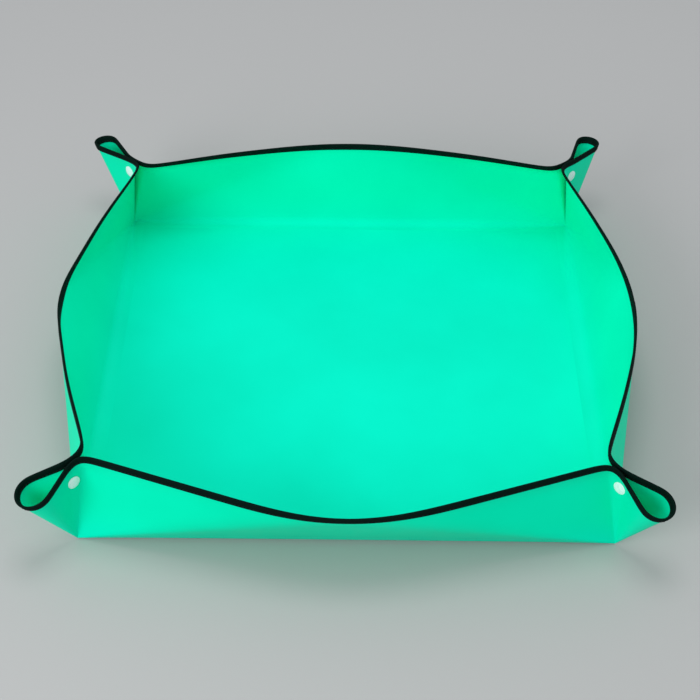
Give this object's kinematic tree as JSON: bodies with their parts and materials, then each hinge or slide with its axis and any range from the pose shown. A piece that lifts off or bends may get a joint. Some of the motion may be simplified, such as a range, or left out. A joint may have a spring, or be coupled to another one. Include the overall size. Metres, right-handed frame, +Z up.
{
  "type": "potting soil tray",
  "caption": "Square fold-up potting tray of coated cloth with bound edges; corner snaps pinch the mat's corners into ears so that its four sides stand as walls.",
  "frame": {"origin": "middle of the floor's underside, on the surface that the tray stands on", "axes": "+Z up, the front wall towards -Y, the right wall towards +X"},
  "size_m": [0.5728, 0.5801, 0.0954],
  "materials": {
    "sheet": "satin",
    "binding": "matte",
    "snap": "gloss"
  },
  "bodies": {
    "floor": {"floor_panel": "sheet"},
    "wall_front": {"front_panel": "sheet", "front_binding": "binding"},
    "wall_right": {"right_panel": "sheet", "right_binding": "binding"},
    "wall_back": {"back_panel": "sheet", "back_binding": "binding"},
    "wall_left": {"left_panel": "sheet", "left_binding": "binding"},
    "flank_front_left": {"front_flank_left": "sheet", "front_flank_binding_left": "binding"},
    "ear_front_left": {"front_ear_left": "sheet", "front_ear_binding_left": "binding", "front_left_snap_socket": "snap", "front_left_snap_socket_cap": "snap"},
    "flank_front_right": {"front_flank_right": "sheet", "front_flank_binding_right": "binding"},
    "ear_front_right": {"front_ear_right": "sheet", "front_ear_binding_right": "binding", "front_right_snap_socket": "snap", "front_right_snap_socket_cap": "snap"},
    "flank_right_front": {"right_flank_front": "sheet", "right_flank_binding_front": "binding"},
    "ear_right_front": {"right_ear_front": "sheet", "right_ear_binding_front": "binding", "front_right_snap_stud": "snap", "front_right_snap_stud_cap": "snap"},
    "flank_right_back": {"right_flank_back": "sheet", "right_flank_binding_back": "binding"},
    "ear_right_back": {"right_ear_back": "sheet", "right_ear_binding_back": "binding", "back_right_snap_stud": "snap", "back_right_snap_stud_cap": "snap"},
    "flank_back_right": {"back_flank_right": "sheet", "back_flank_binding_right": "binding"},
    "ear_back_right": {"back_ear_right": "sheet", "back_ear_binding_right": "binding", "back_right_snap_socket": "snap", "back_right_snap_socket_cap": "snap"},
    "flank_back_left": {"back_flank_left": "sheet", "back_flank_binding_left": "binding"},
    "ear_back_left": {"back_ear_left": "sheet", "back_ear_binding_left": "binding", "back_left_snap_socket": "snap", "back_left_snap_socket_cap": "snap"},
    "flank_left_back": {"left_flank_back": "sheet", "left_flank_binding_back": "binding"},
    "ear_left_back": {"left_ear_back": "sheet", "left_ear_binding_back": "binding", "back_left_snap_stud": "snap", "back_left_snap_stud_cap": "snap"},
    "flank_left_front": {"left_flank_front": "sheet", "left_flank_binding_front": "binding"},
    "ear_left_front": {"left_ear_front": "sheet", "left_ear_binding_front": "binding", "front_left_snap_stud": "snap", "front_left_snap_stud_cap": "snap"}
  },
  "joints": [
    {"name": "front_wall_fold", "type": "hinge", "parent": "floor", "child": "wall_front", "pos_m": [0, -0.244, 0.00025], "axis": [1, 0, 0], "range_deg": [0, 49]},
    {"name": "right_wall_fold", "type": "hinge", "parent": "floor", "child": "wall_right", "pos_m": [0.244, 0, 0.00025], "axis": [0, 1, 0], "range_deg": [0, 56.52]},
    {"name": "back_wall_fold", "type": "hinge", "parent": "floor", "child": "wall_back", "pos_m": [0, 0.244, 0.00025], "axis": [-1, 0, 0], "range_deg": [0, 63.52]},
    {"name": "left_wall_fold", "type": "hinge", "parent": "floor", "child": "wall_left", "pos_m": [-0.244, 0, 0.00025], "axis": [0, -1, 0], "range_deg": [0, 54.02]},
    {"name": "front_flank_fold_left", "type": "hinge", "parent": "wall_front", "child": "flank_front_left", "pos_m": [-0.244, -0.244, 0.00025], "axis": [0.9117, -0.2116, 0.3522], "range_deg": [0, 40.17]},
    {"name": "front_ear_fold_left", "type": "hinge", "parent": "flank_front_left", "child": "ear_front_left", "pos_m": [-0.244, -0.244, 0.00025], "axis": [-0.0761, -0.1388, -0.9874], "range_deg": [0, 60.74]},
    {"name": "front_flank_fold_right", "type": "hinge", "parent": "wall_front", "child": "flank_front_right", "pos_m": [0.244, -0.244, 0.00025], "axis": [0.9117, 0.2116, -0.3522], "range_deg": [0, 40.17]},
    {"name": "front_ear_fold_right", "type": "hinge", "parent": "flank_front_right", "child": "ear_front_right", "pos_m": [0.244, -0.244, 0.00025], "axis": [-0.0761, 0.1388, 0.9874], "range_deg": [0, 60.74]},
    {"name": "right_flank_fold_front", "type": "hinge", "parent": "wall_right", "child": "flank_right_front", "pos_m": [0.244, -0.244, 0.00025], "axis": [0.1638, 0.9117, 0.3768], "range_deg": [0, 32.08]},
    {"name": "right_ear_fold_front", "type": "hinge", "parent": "flank_right_front", "child": "ear_right_front", "pos_m": [0.244, -0.244, 0.00025], "axis": [0.1712, -0.0638, -0.9832], "range_deg": [0, 58.08]},
    {"name": "right_flank_fold_back", "type": "hinge", "parent": "wall_right", "child": "flank_right_back", "pos_m": [0.244, 0.244, 0.00025], "axis": [-0.1638, 0.9117, -0.3768], "range_deg": [0, 32.08]},
    {"name": "right_ear_fold_back", "type": "hinge", "parent": "flank_right_back", "child": "ear_right_back", "pos_m": [0.244, 0.244, 0.00025], "axis": [-0.1712, -0.0638, 0.9832], "range_deg": [0, 58.08]},
    {"name": "back_flank_fold_right", "type": "hinge", "parent": "wall_back", "child": "flank_back_right", "pos_m": [0.244, 0.244, 0.00025], "axis": [-0.9117, 0.1167, 0.394], "range_deg": [0, 24.33]},
    {"name": "back_ear_fold_right", "type": "hinge", "parent": "flank_back_right", "child": "ear_back_right", "pos_m": [0.244, 0.244, 0.00025], "axis": [0.0511, 0.1979, -0.9789], "range_deg": [0, 55.34]},
    {"name": "back_flank_fold_left", "type": "hinge", "parent": "wall_back", "child": "flank_back_left", "pos_m": [-0.244, 0.244, 0.00025], "axis": [-0.9117, -0.1167, -0.394], "range_deg": [0, 24.33]},
    {"name": "back_ear_fold_left", "type": "hinge", "parent": "flank_back_left", "child": "ear_back_left", "pos_m": [-0.244, 0.244, 0.00025], "axis": [0.0511, -0.1979, 0.9789], "range_deg": [0, 55.34]},
    {"name": "left_flank_fold_back", "type": "hinge", "parent": "wall_left", "child": "flank_left_back", "pos_m": [-0.244, 0.244, 0.00025], "axis": [-0.1801, -0.9117, 0.3693], "range_deg": [0, 34.8]},
    {"name": "left_ear_fold_back", "type": "hinge", "parent": "flank_left_back", "child": "ear_left_back", "pos_m": [-0.244, 0.244, 0.00025], "axis": [-0.1608, 0.068, -0.9846], "range_deg": [0, 59]},
    {"name": "left_flank_fold_front", "type": "hinge", "parent": "wall_left", "child": "flank_left_front", "pos_m": [-0.244, -0.244, 0.00025], "axis": [0.1801, -0.9117, -0.3693], "range_deg": [0, 34.8]},
    {"name": "left_ear_fold_front", "type": "hinge", "parent": "flank_left_front", "child": "ear_left_front", "pos_m": [-0.244, -0.244, 0.00025], "axis": [0.1608, 0.068, 0.9846], "range_deg": [0, 59]}
  ],
  "couplings": [
    {"joint": "right_wall_fold", "follows": "front_wall_fold", "ratio": 1.1531},
    {"joint": "back_wall_fold", "follows": "front_wall_fold", "ratio": 1.2959},
    {"joint": "left_wall_fold", "follows": "front_wall_fold", "ratio": 1.102},
    {"joint": "front_flank_fold_left", "follows": "front_wall_fold", "ratio": 0.81939},
    {"joint": "front_ear_fold_left", "follows": "front_wall_fold", "ratio": 1.2393},
    {"joint": "front_flank_fold_right", "follows": "front_wall_fold", "ratio": 0.81939},
    {"joint": "front_ear_fold_right", "follows": "front_wall_fold", "ratio": 1.2393},
    {"joint": "right_flank_fold_front", "follows": "front_wall_fold", "ratio": 0.65424},
    {"joint": "right_ear_fold_front", "follows": "front_wall_fold", "ratio": 1.1848},
    {"joint": "right_flank_fold_back", "follows": "front_wall_fold", "ratio": 0.65424},
    {"joint": "right_ear_fold_back", "follows": "front_wall_fold", "ratio": 1.1848},
    {"joint": "back_flank_fold_right", "follows": "front_wall_fold", "ratio": 0.49612},
    {"joint": "back_ear_fold_right", "follows": "front_wall_fold", "ratio": 1.129},
    {"joint": "back_flank_fold_left", "follows": "front_wall_fold", "ratio": 0.49612},
    {"joint": "back_ear_fold_left", "follows": "front_wall_fold", "ratio": 1.129},
    {"joint": "left_flank_fold_back", "follows": "front_wall_fold", "ratio": 0.7098},
    {"joint": "left_ear_fold_back", "follows": "front_wall_fold", "ratio": 1.2036},
    {"joint": "left_flank_fold_front", "follows": "front_wall_fold", "ratio": 0.7098},
    {"joint": "left_ear_fold_front", "follows": "front_wall_fold", "ratio": 1.2036}
  ]
}
